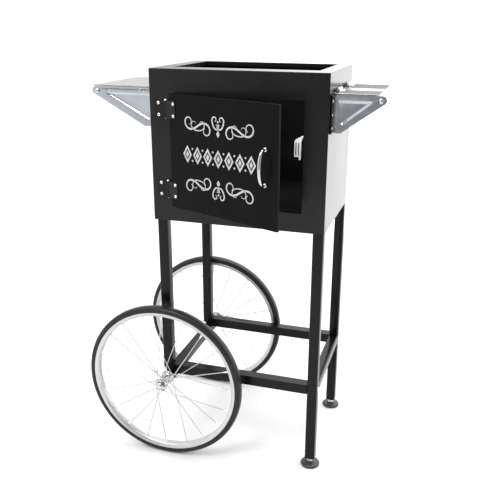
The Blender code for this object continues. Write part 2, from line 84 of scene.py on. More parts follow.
def new_material(name, colour, roughness, metallic=0.0, specular=0.5):
    """A material with plain values, and the shader that its variations are linked to."""
    mat = bpy.data.materials.new(name)
    mat.use_nodes = True
    shader = mat.node_tree.nodes["Principled BSDF"]
    shader.inputs["Base Color"].default_value = (*colour, 1.0)
    shader.inputs["Roughness"].default_value = roughness
    shader.inputs["Metallic"].default_value = metallic
    shader.inputs["Specular IOR Level"].default_value = specular
    return mat, shader


def place_noise(mat, scale, detail=3.0, stretch=(1.0, 1.0, 1.0)):
    """A noise texture in object space. stretch below 1 draws it out along that axis."""
    nodes, links = mat.node_tree.nodes, mat.node_tree.links
    where = nodes.new("ShaderNodeTexCoord")
    mapping = nodes.new("ShaderNodeMapping")
    mapping.inputs["Scale"].default_value = stretch
    noise = nodes.new("ShaderNodeTexNoise")
    noise.inputs["Scale"].default_value = scale
    noise.inputs["Detail"].default_value = detail
    links.new(where.outputs["Object"], mapping.inputs["Vector"])
    links.new(mapping.outputs["Vector"], noise.inputs["Vector"])
    return noise.outputs["Fac"]


def vary(mat, shader, socket, fac, low, high):
    """Runs an input between two values, or two colours, along a 0 to 1 pattern."""
    nodes, links = mat.node_tree.nodes, mat.node_tree.links
    ramp = nodes.new("ShaderNodeValToRGB")
    ramp.color_ramp.elements[0].position = 0.3
    ramp.color_ramp.elements[1].position = 0.7
    for element, value in zip(ramp.color_ramp.elements, (low, high)):
        element.color = (*value, 1.0) if hasattr(value, "__len__") else (value,) * 3 + (1.0,)
    links.new(fac, ramp.inputs["Fac"])
    links.new(ramp.outputs["Color"], shader.inputs[socket])


def bump(mat, shader, fac, strength):
    nodes, links = mat.node_tree.nodes, mat.node_tree.links
    node = nodes.new("ShaderNodeBump")
    node.inputs["Strength"].default_value = strength
    node.inputs["Distance"].default_value = GRAIN_DEPTH
    links.new(fac, node.inputs["Height"])
    links.new(node.outputs["Normal"], shader.inputs["Normal"])


def coated_steel(name, base, roughness, specular, strength=0.05):
    """Black powder coat: a fine orange peel, and faint changes of tone and gloss."""
    mat, shader = new_material(name, (base,) * 3, roughness, specular=specular)
    vary(mat, shader, "Base Color", place_noise(mat, 18.0), (base * 0.8,) * 3, (base * 1.25,) * 3)
    vary(mat, shader, "Roughness", place_noise(mat, 9.0), roughness * 0.95, roughness * 1.08)
    bump(mat, shader, place_noise(mat, 1400.0, 2.0), strength)
    return mat


def metal(name, colour, roughness, stretch=(1.0, 1.0, 1.0), scale=700.0, strength=0.06):
    """Bright metal with fine brushing along one axis, and smudges that change its gloss."""
    mat, shader = new_material(name, colour, roughness, metallic=1.0)
    dark = tuple(c * 0.90 for c in colour)
    vary(mat, shader, "Base Color", place_noise(mat, 25.0), dark, colour)
    vary(mat, shader, "Roughness", place_noise(mat, 60.0), roughness * 0.8, roughness * 1.3)
    bump(mat, shader, place_noise(mat, scale, 2.0, stretch), strength)
    return mat


def moulded(name, colour, roughness, grain=900.0, strength=0.2, specular=0.5):
    """Rubber or plastic with a fine moulded grain."""
    mat, shader = new_material(name, colour, roughness, specular=specular)
    dark = tuple(c * 0.85 for c in colour)
    vary(mat, shader, "Base Color", place_noise(mat, 40.0), dark, colour)
    vary(mat, shader, "Roughness", place_noise(mat, 70.0), roughness * 0.9, roughness * 1.1)
    bump(mat, shader, place_noise(mat, grain, 3.0), strength)
    return mat


PAINT = coated_steel("cabinet_powder_coat", 0.0080, 0.22, specular=0.24)
DOOR_PAINT = coated_steel("door_powder_coat", 0.0035, 0.28, specular=0.06)
FRAME_PAINT = coated_steel("frame_powder_coat", 0.0035, 0.23, specular=0.18)
HINGE_BLACK = coated_steel("hinge_black", 0.0065, 0.38, strength=0.16, specular=0.20)
RUBBER = moulded("tyre_rubber", (0.009, 0.009, 0.010), 0.38, strength=0.25, specular=0.32)
FOOT_BLACK = moulded("foot_rubber", (0.022, 0.022, 0.022), 0.42, specular=0.60)
RIM_STEEL = metal("rim_plated_steel", (0.60, 0.60, 0.60), 0.36)
SPOKE_STEEL = metal("spoke_steel", (0.56, 0.56, 0.57), 0.34, scale=1500.0)
CHROME = metal("bright_chrome", (0.58, 0.58, 0.60), 0.11, strength=0.02)
BRACKET_CHROME = metal("bracket_chrome", (0.43, 0.45, 0.49), 0.18, strength=0.03)
SHELF_STEEL = metal(
    "shelf_brushed_steel", (0.34, 0.34, 0.34), 0.24, stretch=(0.03, 1.0, 1.0), strength=0.15
)
ZINC = metal("zinc_screw", (0.90, 0.90, 0.89), 0.30, scale=1800.0)
# Dark steel: painted shade in the screws' cross recesses, and the catch's steel strips.
RECESS_SHADE_AND_STRIP_STEEL = metal("recess_shade_and_strip_steel", (0.22, 0.22, 0.22), 0.45, scale=1800.0)
WHITE_PLASTIC = moulded("white_moulded_plastic", (0.95, 0.95, 0.94), 0.36, strength=0.08)
PRINT = moulded("silver_print", (0.46, 0.46, 0.455), 0.50, grain=2500.0, strength=0.10)
# Matt grey for the two strips on the right shelf: painted shade.
SHELF_SHADE_GREY = moulded("shelf_painted_shade_strip", (0.16, 0.16, 0.155), 0.80, grain=1500.0, specular=0.05)


# ---------------------------------------------------------------- mesh building


def piece(mesh_data, name, mat, body, nodes=(), bevel=0.0, segments=2, angle=35.0):
    """Turns a bmesh into a piece that rides on a body and may stand for CAD nodes."""
    bmesh.ops.recalc_face_normals(mesh_data, faces=mesh_data.faces)
    mesh = bpy.data.meshes.new(name)
    mesh_data.to_mesh(mesh)
    mesh_data.free()
    mesh.shade_smooth()
    mesh.set_sharp_from_angle(angle=math.radians(angle))
    mesh.materials.append(mat)
    obj = bpy.data.objects.new(name, mesh)
    bpy.context.scene.collection.objects.link(obj)
    if bevel:
        soften = obj.modifiers.new("Soften", "BEVEL")
        soften.width = bevel
        soften.segments = segments
        soften.limit_method = "ANGLE"
        soften.angle_limit = math.radians(30)
        soften.harden_normals = True
    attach(obj, body)
    if nodes:
        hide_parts(*nodes)


def stack(mesh_data, rings, closed=False):
    """Joins rings of points, all of one length, with faces, and caps or closes the ends."""
    made = [[mesh_data.verts.new(Vector(point)) for point in ring] for ring in rings]
    pairs = list(zip(made, made[1:]))
    if closed:
        pairs.append((made[-1], made[0]))
    for first, second in pairs:
        for i in range(len(first)):
            j = (i + 1) % len(first)
            mesh_data.faces.new((first[i], first[j], second[j], second[i]))
    if not closed:
        mesh_data.faces.new(made[0][::-1])
        mesh_data.faces.new(made[-1])
    return mesh_data


def rectangle(low, high, plane, depth, radius=0.0, steps=3):
    """Points round a rectangle in plane "XZ", "XY" or "YZ", with rounded corners if asked."""
    (a0, b0), (a1, b1) = low, high
    flat = [(a1, b1), (a0, b1), (a0, b0), (a1, b0)]
    if radius:
        corners, flat = flat, []
        for quarter, (a, b) in enumerate(corners):
            centre_a = a - math.copysign(radius, a - (a0 + a1) / 2)
            centre_b = b - math.copysign(radius, b - (b0 + b1) / 2)
            for i in range(steps + 1):
                turn = math.radians(90 * quarter + 90 * i / steps)
                flat.append((centre_a + radius * math.cos(turn), centre_b + radius * math.sin(turn)))
    if plane == "XZ":
        return [(a, depth, b) for a, b in flat]
    if plane == "XY":
        return [(a, b, depth) for a, b in flat]
    return [(depth, a, b) for a, b in flat]


def slab(name, low, high, mat, body, nodes=(), bevel=0.0006):
    """A sheet or block with softened edges."""
    rings = [rectangle(low[:2], high[:2], "XY", z) for z in (low[2], high[2])]
    piece(stack(bmesh.new(), rings), name, mat, body, nodes, bevel)


def turned(mesh_data, profile, centre, axis="Y", segments=64, closed=False):
    """Turns (radius, height) points about an axis. A radius of 0 makes a pole."""
    centre = Vector(centre)
    rings = []
    for radius, height in profile:
        ring = []
        for i in range(segments if radius > 0 else 1):
            turn = 2 * math.pi * i / segments
            a, b = radius * math.cos(turn), radius * math.sin(turn)
            offset = {"Y": (a, height, b), "Z": (a, b, height), "X": (height, a, b)}[axis]
            ring.append(mesh_data.verts.new(centre + Vector(offset)))
        rings.append(ring)
    for first, second in zip(rings, rings[1:] + ([rings[0]] if closed else [])):
        for i in range(segments):
            j = (i + 1) % segments
            corners = [first[i % len(first)], first[j % len(first)]]
            corners += [second[j % len(second)], second[i % len(second)]]
            mesh_data.faces.new(list(dict.fromkeys(corners)))
    return mesh_data


def rod(mesh_data, points, radius, sides=8):
    """A round bar along a path of points, with flat ends. radius is one number or a list."""
    points = [Vector(p) for p in points]
    radii = radius if hasattr(radius, "__len__") else [radius] * len(points)
    side = None
    rings = []
    for i, (point, size) in enumerate(zip(points, radii)):
        ahead = (points[min(i + 1, len(points) - 1)] - points[max(i - 1, 0)]).normalized()
        if side is None:
            side = ahead.orthogonal().normalized()
        side = (side - ahead * side.dot(ahead)).normalized()
        other = ahead.cross(side)
        rings.append(
            [
                point + size * (side * math.cos(t) + other * math.sin(t))
                for t in (2 * math.pi * k / sides for k in range(sides))
            ]
        )
    return stack(mesh_data, rings)


# ---------------------------------------------------------------- cabinet


def make_front_panel():
    """A sheet with the door opening, whose edges fold back into the cabinet."""
    x0, z0, x1, z1 = OPENING
    outer = (LEFT, BOTTOM), (RIGHT, TOP - SHEET)
    fold = (x0 - SHEET, z0 - SHEET), (x1 + SHEET, z1 + SHEET)
    rings = [
        rectangle(*outer, "XZ", FRONT),
        rectangle((x0, z0), (x1, z1), "XZ", FRONT),
        rectangle((x0, z0), (x1, z1), "XZ", OPENING_LIP),
        rectangle(*fold, "XZ", OPENING_LIP),
        rectangle(*fold, "XZ", FRONT + SHEET),
        rectangle(*outer, "XZ", FRONT + SHEET),
    ]
    mesh_data = stack(bmesh.new(), rings, closed=True)
    piece(mesh_data, "front_sheet", PAINT, "cart", nodes=["front_panel"], bevel=0.0003)


def make_top_rim():
    """The flat rim round the open top, with its inner edge folded down."""
    x0, y0, x1, y1 = WELL
    lip = TOP - 0.0090
    outer, inner = ((LEFT, FRONT), (RIGHT, BACK)), ((x0, y0), (x1, y1))
    behind = (x0 - SHEET, y0 - SHEET), (x1 + SHEET, y1 + SHEET)
    rings = [
        rectangle(*outer, "XY", TOP),
        rectangle(*inner, "XY", TOP),
        rectangle(*inner, "XY", lip),
        rectangle(*behind, "XY", lip),
        rectangle(*behind, "XY", TOP - SHEET),
        rectangle(*outer, "XY", TOP - SHEET),
    ]
    mesh_data = stack(bmesh.new(), rings, closed=True)
    piece(mesh_data, "top_rim_folded", PAINT, "cart", nodes=["top_rim"], bevel=0.0003)


def make_cabinet():
    make_front_panel()
    make_top_rim()
    for node in ("left_side_panel", "right_side_panel", "back_panel", "cabinet_floor"):
        low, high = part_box(node)
        if node == "cabinet_floor":
            # The sheet reaches the folded lip of the door opening, with no slit between them.
            low = Vector((low.x, FRONT + 0.0100, low.z - 0.0010))
        else:
            high.z = TOP - SHEET
        slab(f"{node}_sheet", low, high, PAINT, "cart", nodes=[node], bevel=0.0002)


def screw(name, centre, facing, radius, height):
    """A pan-head screw or bolt whose cross recess is a dark cross piece: painted shade. facing is its way along X,
    +1 or -1.
    """
    head = [(0.0, height), (radius * 0.45, height * 0.97), (radius * 0.80, height * 0.70)]
    head += [(radius, height * 0.25), (radius, -0.0001), (0.0, -0.0001)]
    mesh_data = bmesh.new()
    turned(mesh_data, [(r, facing * h) for r, h in head], centre, "X", 20)
    piece(mesh_data, name, ZINC, "cart")
    # The cross is a dark piece set in the head: painted shade where the recess is.
    cross = bmesh.new()
    arm, half = radius * 0.55, radius * 0.13
    for a, b in ((arm, half), (half, arm)):
        ring = [(a, b), (-a, b), (-a, -b), (a, -b)]
        levels = (facing * height * share for share in (0.80, 1.02))
        stack(cross, [[Vector(centre) + Vector((out, u, v)) for u, v in ring] for out in levels])
    piece(cross, f"{name}_recess", RECESS_SHADE_AND_STRIP_STEEL, "cart")


# ---------------------------------------------------------------- frame


def tube(name, node, axis):
    """A square tube with rounded corners in place of a sharp one, hollow and open-ended."""
    low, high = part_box(node)
    a, b = [i for i in range(3) if i != axis]
    plane = {0: "YZ", 1: "XZ", 2: "XY"}[axis]
    wall, radius = 0.0015, 0.0028
    outer = (low[a], low[b]), (high[a], high[b])
    inner = (low[a] + wall, low[b] + wall), (high[a] - wall, high[b] - wall)
    rings = [rectangle(*outer, plane, end, radius, 4) for end in (low[axis], high[axis])]
    rings += [rectangle(*inner, plane, end, radius - wall, 4) for end in (high[axis], low[axis])]
    piece(stack(bmesh.new(), rings, closed=True), name, FRAME_PAINT, "cart", nodes=[node])


def make_frame():
    for node in ("front_left_leg", "rear_left_leg", "front_right_leg", "rear_right_leg"):
        tube(f"{node}_tube", node, 2)
    tube("right_cross_rail_tube", "right_cross_rail", 1)
    tube("axle_beam_tube", "axle_beam", 1)
    for place in ("front", "rear"):
        low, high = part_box(f"{place}_right_leg")
        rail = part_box(f"{place}_rail")
        centre = (high.x, (low.y + high.y) / 2, (rail[0].z + rail[1].z) / 2)
        screw(f"{place}_rail_bolt", centre, 1, 0.0042, 0.0026)


def make_feet():
    for place in ("front", "rear"):
        low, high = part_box(f"{place}_foot_pad")
        centre = ((low.x + high.x) / 2, (low.y + high.y) / 2, 0.0)
        radius, height = (high.x - low.x) / 2, high.z
        profile = [(0.0, 0.0), (radius - 0.0016, 0.0), (radius - 0.0004, 0.0006), (radius, 0.0018)]
        profile += [(radius, 0.0040), (radius - 0.0008, 0.0052), (radius * 0.80, 0.0064)]
        profile += [(radius * 0.55, 0.0074), (radius * 0.42, 0.0082), (radius * 0.36, height)]
        profile += [(0.0, height)]
        body = f"{place}_foot"
        mesh_data = turned(bmesh.new(), profile, centre, "Z", 56)
        node = f"{place}_foot_pad"
        piece(mesh_data, f"{place}_foot_disc", FOOT_BLACK, body, nodes=[node], angle=50)
        make_stem(place, centre, body)


def make_stem(place, centre, body):
    """A stem whose thread is drawn as rings, with a hexagonal nut at its foot."""
    node = f"{place}_foot_stem"
    low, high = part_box(node)
    radius = (high.x - low.x) / 2
    profile, z, pitch = [(0.0, low.z)], low.z, 0.00125
    while z < high.z - pitch:
        profile += [(radius * 0.86, z + pitch * 0.1), (radius, z + pitch * 0.6)]
        z += pitch
    profile += [(radius * 0.86, high.z), (0.0, high.z)]
    mesh_data = turned(bmesh.new(), profile, centre, "Z", 24)
    turned(mesh_data, nut_profile(0.0085, low.z + 0.0002, low.z + 0.0048), centre, "Z", 6)
    piece(mesh_data, f"{place}_foot_thread", ZINC, body, nodes=[node])


def nut_profile(radius, start, end):
    """The (radius, height) points of a nut with slightly broken edges."""
    return [(0.0, start), (radius * 0.94, start), (radius, start + (end - start) * 0.12),
            (radius, end - (end - start) * 0.12), (radius * 0.94, end), (0.0, end)]


# ---------------------------------------------------------------- wheels

SPOKES = 20
SPOKE_RADIUS = 0.0010
HUB_HALF = 0.0190
FLANGE = 0.0145
FLANGE_HOLES = 0.0118
SPOKE_LEAD = math.radians(68)
RIM_DEPTH = 0.0092


def make_wheel(place, out):
    """out is the way the wheel's outer side faces: -1 to the front, +1 to the back."""
    centre = Vector(JOINTS[f"{place}_wheel_spin"]["pos_m"])
    body = f"{place}_wheel"
    low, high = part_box(f"{place}_tyre")
    outer, half = (high.z - low.z) / 2, (high.y - low.y) / 2
    rim_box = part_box(f"{place}_rim")
    edge = (rim_box[1].z - rim_box[0].z) / 2
    seat, inside = edge + 0.0003, edge - RIM_DEPTH
    tyre = [(seat, half - 0.0014), (seat + 0.0010, half - 0.0004), (seat + 0.0026, half)]
    tyre += [(outer - 0.0060, half), (outer - 0.0038, half - 0.0007)]
    tyre += [(outer - 0.0019, half - 0.0022), (outer - 0.0007, half - 0.0045)]
    tyre += [(outer - 0.0001, half - 0.0074), (outer, half - 0.0094)]
    tyre = [(radius, -along) for radius, along in tyre] + tyre[::-1]
    mesh_data = turned(bmesh.new(), tyre, centre, "Y", 144, closed=True)
    piece(mesh_data, f"{place}_tyre_tread", RUBBER, body, nodes=[f"{place}_tyre"], angle=50)

    wide, narrow = half - 0.0010, half - 0.0043
    rim = [(edge, wide - 0.0010), (edge - 0.0004, wide - 0.0002), (edge - 0.0014, wide)]
    rim += [(edge - 0.0026, wide - 0.0003), (inside + 0.0022, narrow + 0.0009)]
    rim += [(inside + 0.0008, narrow + 0.0001), (inside, narrow - 0.0014)]
    rim = [(radius, -along) for radius, along in rim] + rim[::-1]
    mesh_data = turned(bmesh.new(), rim, centre, "Y", 144, closed=True)
    piece(mesh_data, f"{place}_rim_channel", RIM_STEEL, body, nodes=[f"{place}_rim"], angle=50)

    make_hub(place, centre, body)
    make_spokes(place, centre, body, inside + 0.0004)
    make_cap_nut(place, out)


def make_hub(place, centre, body):
    barrel, bore, end = 0.0072, 0.0054, HUB_HALF
    hub = [(bore, -end - 0.0020), (0.0088, -end - 0.0020), (0.0090, -end - 0.0004)]
    hub += [(FLANGE - 0.0008, -end), (FLANGE, -end + 0.0006), (FLANGE, -end + 0.0018)]
    hub += [(FLANGE - 0.0008, -end + 0.0026), (0.0098, -end + 0.0032), (barrel, -end + 0.0070)]
    hub += [(barrel - 0.0006, -end + 0.0120)]
    hub += [(radius, -height) for radius, height in hub[::-1]]
    mesh_data = turned(bmesh.new(), hub, centre, "Y", 48, closed=True)
    piece(mesh_data, f"{place}_hub_shell", CHROME, body, nodes=[f"{place}_spoked_hub"], angle=50)


def make_spokes(place, centre, body, reach):
    """Crossed spokes with bent heads in the flanges and nipples in the rim."""
    wires, nipples = bmesh.new(), bmesh.new()

    def at(radius, turn, along):
        return centre + Vector((radius * math.sin(turn), along, radius * math.cos(turn)))

    for i in range(SPOKES):
        turn = 2 * math.pi * i / SPOKES
        side = 1 if i % 2 else -1
        lead = SPOKE_LEAD if (i // 2) % 2 else -SPOKE_LEAD
        flange = side * (HUB_HALF - 0.0010)
        outward = side if (i // 2) % 2 else -side
        hole = at(FLANGE_HOLES, turn + lead, flange)
        elbow = at(FLANGE_HOLES, turn + lead, flange + outward * 0.0022)
        end = at(reach - 0.0002, turn, side * 0.0026)
        start = elbow + (end - elbow) * 0.012
        head = at(FLANGE_HOLES, turn + lead, flange - outward * 0.0022)
        rod(wires, [head, hole, elbow, start, end], SPOKE_RADIUS, 8)
        inner = end + (elbow - end).normalized() * 0.0105
        middle = end + (elbow - end).normalized() * 0.0030
        rod(nipples, [inner, inner.lerp(middle, 0.06), middle, middle.lerp(end, 0.1), end],
            [0.0013, 0.0017, 0.0018, 0.0024, 0.0024], 10)
    piece(wires, f"{place}_spokes", SPOKE_STEEL, body, angle=50)
    piece(nipples, f"{place}_spoke_nipples", ZINC, body, angle=50)


def make_cap_nut(place, out):
    """A domed chrome nut over a hexagon."""
    node = f"{place}_cap_nut"
    low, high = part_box(node)
    start, end = (high.y, low.y) if out < 0 else (low.y, high.y)
    radius = (high.x - low.x) / 2
    centre = Vector((AXLE.x, start, AXLE.z))
    length = abs(end - start)
    dome = [(0.0, length * 0.35), (radius * 0.90, length * 0.35), (radius * 0.93, length * 0.55)]
    dome += [(radius * 0.80, length * 0.80), (radius * 0.50, length * 0.96), (0.0, length)]
    mesh_data = turned(bmesh.new(), [(r, out * h) for r, h in dome], centre, "Y", 40)
    hexagon = nut_profile(radius, out * 0.0, out * length * 0.45)
    turned(mesh_data, hexagon, centre, "Y", 6)
    piece(mesh_data, f"{place}_domed_nut", CHROME, "cart", nodes=[node], angle=40)


# ---------------------------------------------------------------- door and hinges


def make_door():
    """A folded pan: a flat face, and a border turned in all round the back."""
    x0, z0, x1, z1 = DOOR
    back = DOOR_FRONT + DOOR_THICKNESS
    low, high = (x0, z0), (x1, z1)
    border = 0.0120
    fold = (x0 + border, z0 + border), (x1 - border, z1 - border)
    rings = [
        rectangle(low, high, "XZ", DOOR_FRONT),
        rectangle(low, high, "XZ", back),
        rectangle(*fold, "XZ", back),
        rectangle(*fold, "XZ", DOOR_FRONT + 0.0014),
    ]
    mesh_data = stack(bmesh.new(), rings)
    move_door(mesh_data)
    piece(mesh_data, "door_pan", DOOR_PAINT, "door", nodes=["door_panel"], bevel=0.0007, segments=3)
    make_pull()
    make_ornament()


def move_door(mesh_data):
    """Turns a mesh built on the closed door to where the door stands ajar."""
    turn = Matrix.Rotation(-DOOR_ANGLE, 4, "Z")
    bmesh.ops.rotate(mesh_data, cent=PIN, matrix=turn, verts=mesh_data.verts)


def make_pull():
    """A flat bow pull: it narrows at each end, where a round foot meets the door."""
    x, centre_z, half = PIN.x + 0.2470, DOOR_ROW, 0.0320
    points, radii, steps = [], [], 28
    for i in range(steps + 1):
        share = math.pi * i / steps
        out = 0.0172 * math.sin(share) ** 0.65
        points.append((x, DOOR_FRONT - out, centre_z - half * math.cos(share)))
        radii.append(0.0024 + 0.0007 * math.sin(share) ** 2)
    mesh_data = bmesh.new()
    rod(mesh_data, points, radii, 16)
    for end in (-1, 1):
        foot = (x, DOOR_FRONT, centre_z + end * half)
        profile = [(0.0, -0.0030), (0.0030, -0.0028), (0.0042, -0.0012), (0.0044, 0.0), (0.0, 0.0)]
        turned(mesh_data, profile, foot, "Y", 24)
    move_door(mesh_data)
    piece(mesh_data, "bow_pull", CHROME, "door", nodes=["door_pull"], angle=60)


def scroll(length, tightness, mirrored):
    """A line that curls up at both ends: an S, or a C if mirrored, with its middle at 0, 0."""
    points, steps = [(0.0, 0.0)], 56
    for direction in (1, -1):
        x = z = 0.0
        half = []
        for i in range(steps):
            s = length * (i + 0.5) / steps
            sign = direction if mirrored else 1
            heading = sign * tightness * (s / length) ** 1.8
            x += direction * math.cos(heading) * length / steps
            z += direction * math.sin(heading) * length / steps
            half.append((x, z))
        points = points + half if direction == 1 else half[::-1] + points
    return points


def ribbon(mesh_data, points, widest):
    """A flat printed line on the door's face, widest in its middle."""
    y0, y1 = DOOR_FRONT + PRINT_SINK, DOOR_FRONT - PRINT_HEIGHT
    count = len(points)
    rings = []
    for i, (x, z) in enumerate(points):
        ahead = points[min(i + 1, count - 1)]
        behind = points[max(i - 1, 0)]
        dx, dz = ahead[0] - behind[0], ahead[1] - behind[1]
        size = math.hypot(dx, dz) or 1.0
        nx, nz = -dz / size, dx / size
        width = widest * (0.30 + 0.70 * math.sin(math.pi * (i + 0.5) / count) ** 0.8) / 2
        rings.append([(x + nx * width, y1, z + nz * width), (x - nx * width, y1, z - nz * width),
                      (x - nx * width, y0, z - nz * width), (x + nx * width, y0, z + nz * width)])
    stack(mesh_data, rings)


def printed(mesh_data, points):
    """A flat printed shape on the door's face."""
    y0, y1 = DOOR_FRONT + PRINT_SINK, DOOR_FRONT - PRINT_HEIGHT
    stack(mesh_data, [[(x, y, z) for x, z in points] for y in (y0, y1)])


def placed(points, centre, turn, flip):
    """The points turned, mirrored if flip is -1, and moved to a centre."""
    c, s = math.cos(turn), math.sin(turn)
    return [(centre[0] + flip * (x * c - z * s), centre[1] + (x * s + z * c)) for x, z in points]


def make_ornament():
    """A printed ornament of plain scrolls, lozenges and dots, with no lettering."""
    middle_x = PIN.x + 0.1360
    mesh_data = bmesh.new()
    for centre_z, up in ((0.7420, 1), (0.6300, -1)):
        lines = []
        for flip in (-1, 1):
            stem_at = middle_x + flip * 0.0520, centre_z
            vine_at = middle_x + flip * 0.0500, centre_z - 0.0080
            leaf_at = middle_x + flip * 0.0125, centre_z + 0.0070
            stem = placed(scroll(0.0740, 6.4, False), stem_at, -0.56, flip)
            vine = placed(scroll(0.0400, 4.6, True), vine_at, -0.06, flip)
            leaf = placed(scroll(0.0300, 5.2, True), leaf_at, 1.15, flip)
            lines += [(stem, 0.0036), (vine, 0.0020), (leaf, 0.0030)]
        for line, width in lines:
            ribbon(mesh_data, [(x, centre_z + up * (z - centre_z)) for x, z in line], width)
        lozenge(mesh_data, middle_x, centre_z - up * 0.0095, 0.0042, 0.0066)
        dot(mesh_data, middle_x, centre_z + up * 0.0125, 0.0020)
    spacing = 0.0265
    for i in range(-3, 4):
        x = middle_x + i * spacing
        lozenge(mesh_data, x, DOOR_ROW, 0.0112, 0.0172, hollow=0.0042)
        lozenge(mesh_data, x, DOOR_ROW, 0.0040, 0.0068)
        if i < 3:
            for level in (-0.0115, 0.0115):
                dot(mesh_data, x + spacing / 2, DOOR_ROW + level, 0.0020)
    move_door(mesh_data)
    piece(mesh_data, "door_ornament", PRINT, "door")


def lozenge(mesh_data, x, z, wide, tall, hollow=0.0):
    """A printed lozenge. wide and tall are half sizes, and hollow is the width of its border."""
    corners = [(x + wide, z), (x, z + tall), (x - wide, z), (x, z - tall)]
    if not hollow:
        printed(mesh_data, corners)
        return
    inner = [(x + wide - hollow, z), (x, z + tall - hollow * 1.5)]
    inner += [(x - wide + hollow, z), (x, z - tall + hollow * 1.5)]
    y0, y1 = DOOR_FRONT + PRINT_SINK, DOOR_FRONT - PRINT_HEIGHT
    rings = [[(a, y, b) for a, b in shape] for shape, y in
             ((corners, y0), (corners, y1), (inner, y1), (inner, y0))]
    stack(mesh_data, rings, closed=True)


def dot(mesh_data, x, z, radius):
    printed(mesh_data, [(x + radius * math.cos(t), z + radius * math.sin(t))
                        for t in (2 * math.pi * i / 16 for i in range(16))])


def make_hinges():
    """Two leaves and the head of the pin, for each hinge. The pin itself stays a solid."""
    for level in ("upper", "lower"):
        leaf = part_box(f"{level}_hinge_cabinet_leaf")
        z0, z1 = leaf[0].z, leaf[1].z
        make_leaf(level, "cabinet", -1, z0, z1)
        make_leaf(level, "door", 1, z0, z1)
        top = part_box(f"{level}_hinge_pin")[1].z
        radius = 0.0029
        cap = [(0.0, top + 0.0014), (radius * 0.7, top + 0.0010), (radius, top - 0.0002)]
        cap += [(radius, z1 + 0.0001), (0.0, z1 + 0.0001)]
        mesh_data = turned(bmesh.new(), cap, (PIN.x, PIN.y, 0.0), "Z", 20)
        piece(mesh_data, f"{level}_hinge_pin_head", ZINC, "cart", angle=50)


def make_leaf(level, part, side, z0, z1):
    """A leaf with rounded corners, its share of the knuckles, and its two screws."""
    node = f"{level}_hinge_{part}_leaf"
    thick, reach, near = 0.0010, 0.0265, 0.0030
    face = FRONT - 0.0003 if part == "cabinet" else DOOR_FRONT - 0.0003
    xs = sorted((PIN.x + side * near, PIN.x + side * reach))
    mesh_data = bmesh.new()
    rings = [rectangle((xs[0], z0), (xs[1], z1), "XZ", y, 0.0018, 4) for y in (face - thick, face)]
    stack(mesh_data, rings)
    third = (z1 - z0) / 3
    knuckles = [(z0, z0 + third), (z1 - third, z1)]
    if part == "door":
        knuckles = [(z0 + third, z0 + 2 * third)]
    for low, high in knuckles:
        low, high = low + 0.0002, high - 0.0002
        ring = [(0.0016, low), (0.0024, low), (0.0024, high), (0.0016, high)]
        turned(mesh_data, ring, (PIN.x, PIN.y, 0.0), "Z", 28, closed=True)
        web = sorted((PIN.x + side * 0.0021, PIN.x + side * (near + 0.0010)))
        ys = sorted((face - thick + 0.0001, PIN.y - 0.0006, PIN.y + 0.0006, face - 0.0001))
        corners = (web[0], ys[0]), (web[1], ys[-1])
        stack(mesh_data, [rectangle(*corners, "XY", z) for z in (low, high)])
    if part == "door":
        move_door(mesh_data)
    body = "cart" if part == "cabinet" else "door"
    piece(mesh_data, f"{level}_{part}_leaf_plate", HINGE_BLACK, body, nodes=[node], angle=40)
    for i, z in enumerate((z0 + 0.0055, z1 - 0.0055)):
        x = PIN.x + side * (0.0208 if part == "door" else 0.0178)
        place_screw(f"{level}_{part}_screw_{i}", (x, face - thick, z), body)


def place_screw(name, centre, body):
    """A hinge screw, whose cross recess is a dark cross piece: painted shade. The door's are turned with the door.
    """
    radius, height = 0.0033, 0.0017
    head = [(0.0, -height), (radius * 0.5, -height * 0.96), (radius * 0.85, -height * 0.65),
            (radius, -height * 0.2), (radius, 0.0001), (0.0, 0.0001)]
    mesh_data = turned(bmesh.new(), head, centre, "Y", 20)
    # The cross is a dark piece set in the head: painted shade where the recess is.
    cross = bmesh.new()
    arm, half = radius * 0.52, radius * 0.13
    for a, b in ((arm, half), (half, arm)):
        corners = (centre[0] - a, centre[2] - b), (centre[0] + a, centre[2] + b)
        levels = (centre[1] - height * share for share in (0.8, 1.02))
        stack(cross, [rectangle(*corners, "XZ", y) for y in levels])
    if body == "door":
        move_door(mesh_data)
        move_door(cross)
    piece(mesh_data, name, ZINC, body, angle=50)
    piece(cross, f"{name}_recess", RECESS_SHADE_AND_STRIP_STEEL, body)


def make_catch():
    """A magnetic catch: a white case on a taller flange, with two steel strips at its mouth."""
    low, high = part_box("catch_body")
    middle = (low.z + high.z) / 2
    case = [(low.x, middle - 0.0170), (low.x + 0.0128, middle - 0.0170)]
    case += [(low.x + 0.0128, middle + 0.0185), (low.x + 0.0075, middle + 0.0185)]
    case += [(low.x + 0.0015, middle + 0.0150), (low.x, middle + 0.0115)]
    rings = [[(x, y, z) for x, z in case] for y in (low.y + 0.0012, high.y)]
    piece(stack(bmesh.new(), rings), "catch_case", WHITE_PLASTIC, "cart", nodes=["catch_body"],
          bevel=0.0009, segments=3)
    flange = [(low.x + 0.0095, low.z), (low.x + 0.0126, low.z), (low.x + 0.0134, middle + 0.0120)]
    flange += [(low.x + 0.0170, high.z - 0.0012), (low.x + 0.0170, high.z)]
    flange += [(low.x + 0.0120, high.z - 0.0010), (low.x + 0.0095, high.z - 0.0050)]
    rings = [[(x, y, z) for x, z in flange] for y in (low.y + 0.0006, low.y + 0.0070)]
    piece(stack(bmesh.new(), rings), "catch_flange", WHITE_PLASTIC, "cart",
          bevel=0.0006)
    for i, x in enumerate((low.x + 0.0024, low.x + 0.0076)):
        near = (x, low.y + 0.0002, middle - 0.0135)
        far = (x + 0.0022, low.y + 0.0040, middle + 0.0100)
        slab(f"catch_strip_{i}", near, far, RECESS_SHADE_AND_STRIP_STEEL, "cart", bevel=0.0003)
    make_strike(low, high)


